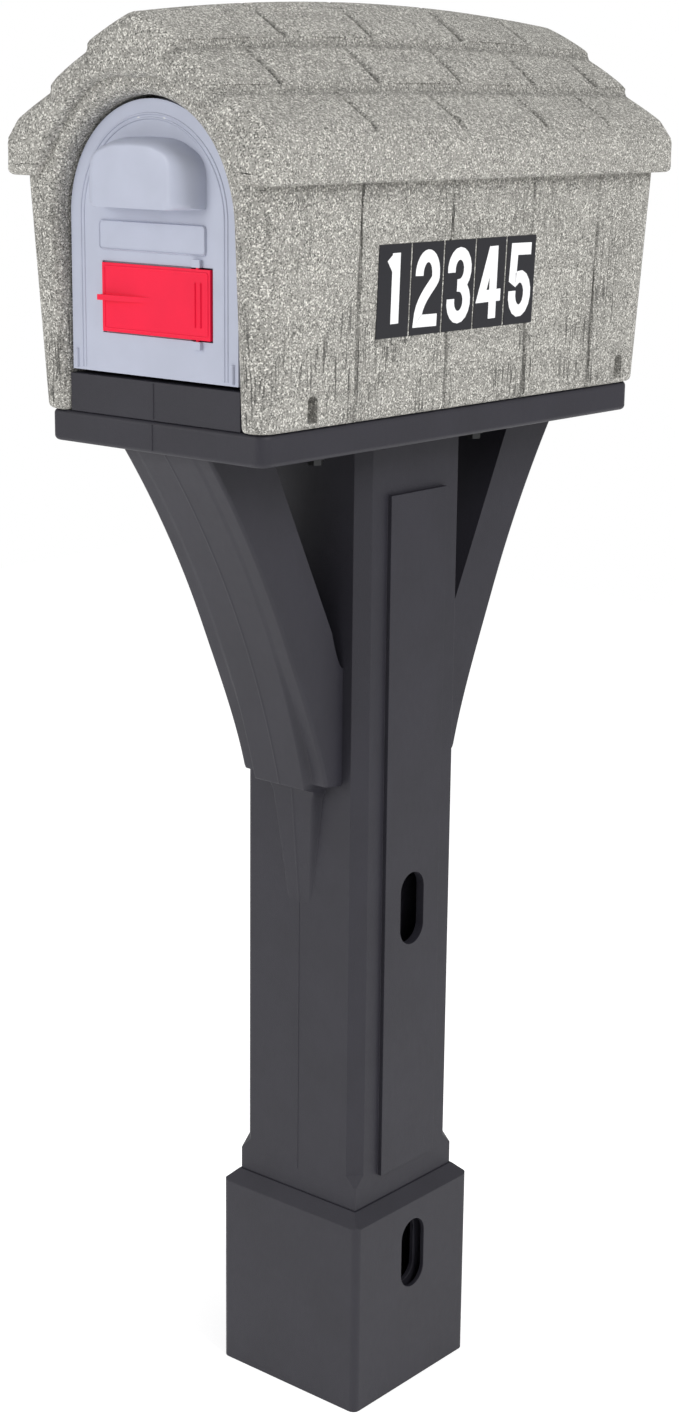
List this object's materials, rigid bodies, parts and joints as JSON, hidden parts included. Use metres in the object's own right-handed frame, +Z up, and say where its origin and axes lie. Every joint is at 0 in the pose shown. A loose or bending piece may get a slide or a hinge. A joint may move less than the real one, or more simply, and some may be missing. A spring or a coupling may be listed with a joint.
{
  "type": "post-mounted residential mailbox",
  "caption": "Tall moulded mailbox on a square post: roofed stone-look housing, drop-down arched door with swing-out flag, tray, two curved arms and a slotted post over a timber.",
  "frame": {"origin": "on the ground under the middle of the post", "axes": "+Z up, the door faces -Y, the mailbox's long axis is Y, the house number is on the +X wall"},
  "size_m": [0.33, 0.632, 1.4445],
  "materials": {
    "dark_plastic": "fine moulded texture, satin matte",
    "stone_plastic": "speckled stone grain, matte",
    "door_plastic": "satin",
    "flag_plastic": "satin red",
    "number_vinyl": "smooth printed vinyl",
    "zinc_steel": "zinc plated",
    "brass_insert": "turned",
    "magnet_black": "ferrite, matte"
  },
  "bodies": {
    "root": {"base_sleeve": "dark_plastic", "post_column": "dark_plastic", "post_liner": "dark_plastic", "front_arm": "dark_plastic", "rear_arm": "dark_plastic", "tray": "dark_plastic", "floor_deck": "dark_plastic", "tray_bolts": "zinc_steel", "tray_washers": "zinc_steel", "floor_inserts": "brass_insert", "housing": "stone_plastic", "housing_screws": "zinc_steel", "housing_washers": "zinc_steel", "number_plate_1": "number_vinyl", "number_plate_2": "number_vinyl", "number_plate_3": "number_vinyl", "number_plate_4": "number_vinyl", "number_plate_5": "number_vinyl", "door_hinge_pins": "zinc_steel", "catch_magnet": "magnet_black", "catch_bracket": "dark_plastic"},
    "door": {"door": "door_plastic", "strike_plate": "zinc_steel", "strike_rivets": "zinc_steel"},
    "flag": {"flag": "flag_plastic"}
  },
  "joints": [
    {"name": "door_hinge", "type": "hinge", "parent": "root", "child": "door", "pos_m": [0, -0.28, 1.119], "axis": [1, 0, 0], "range_deg": [0, 95]},
    {"name": "flag_hinge", "type": "hinge", "parent": "door", "child": "flag", "pos_m": [0.0566, -0.287, 1.17625], "axis": [0, 0, 1], "range_deg": [0, 90]}
  ]
}
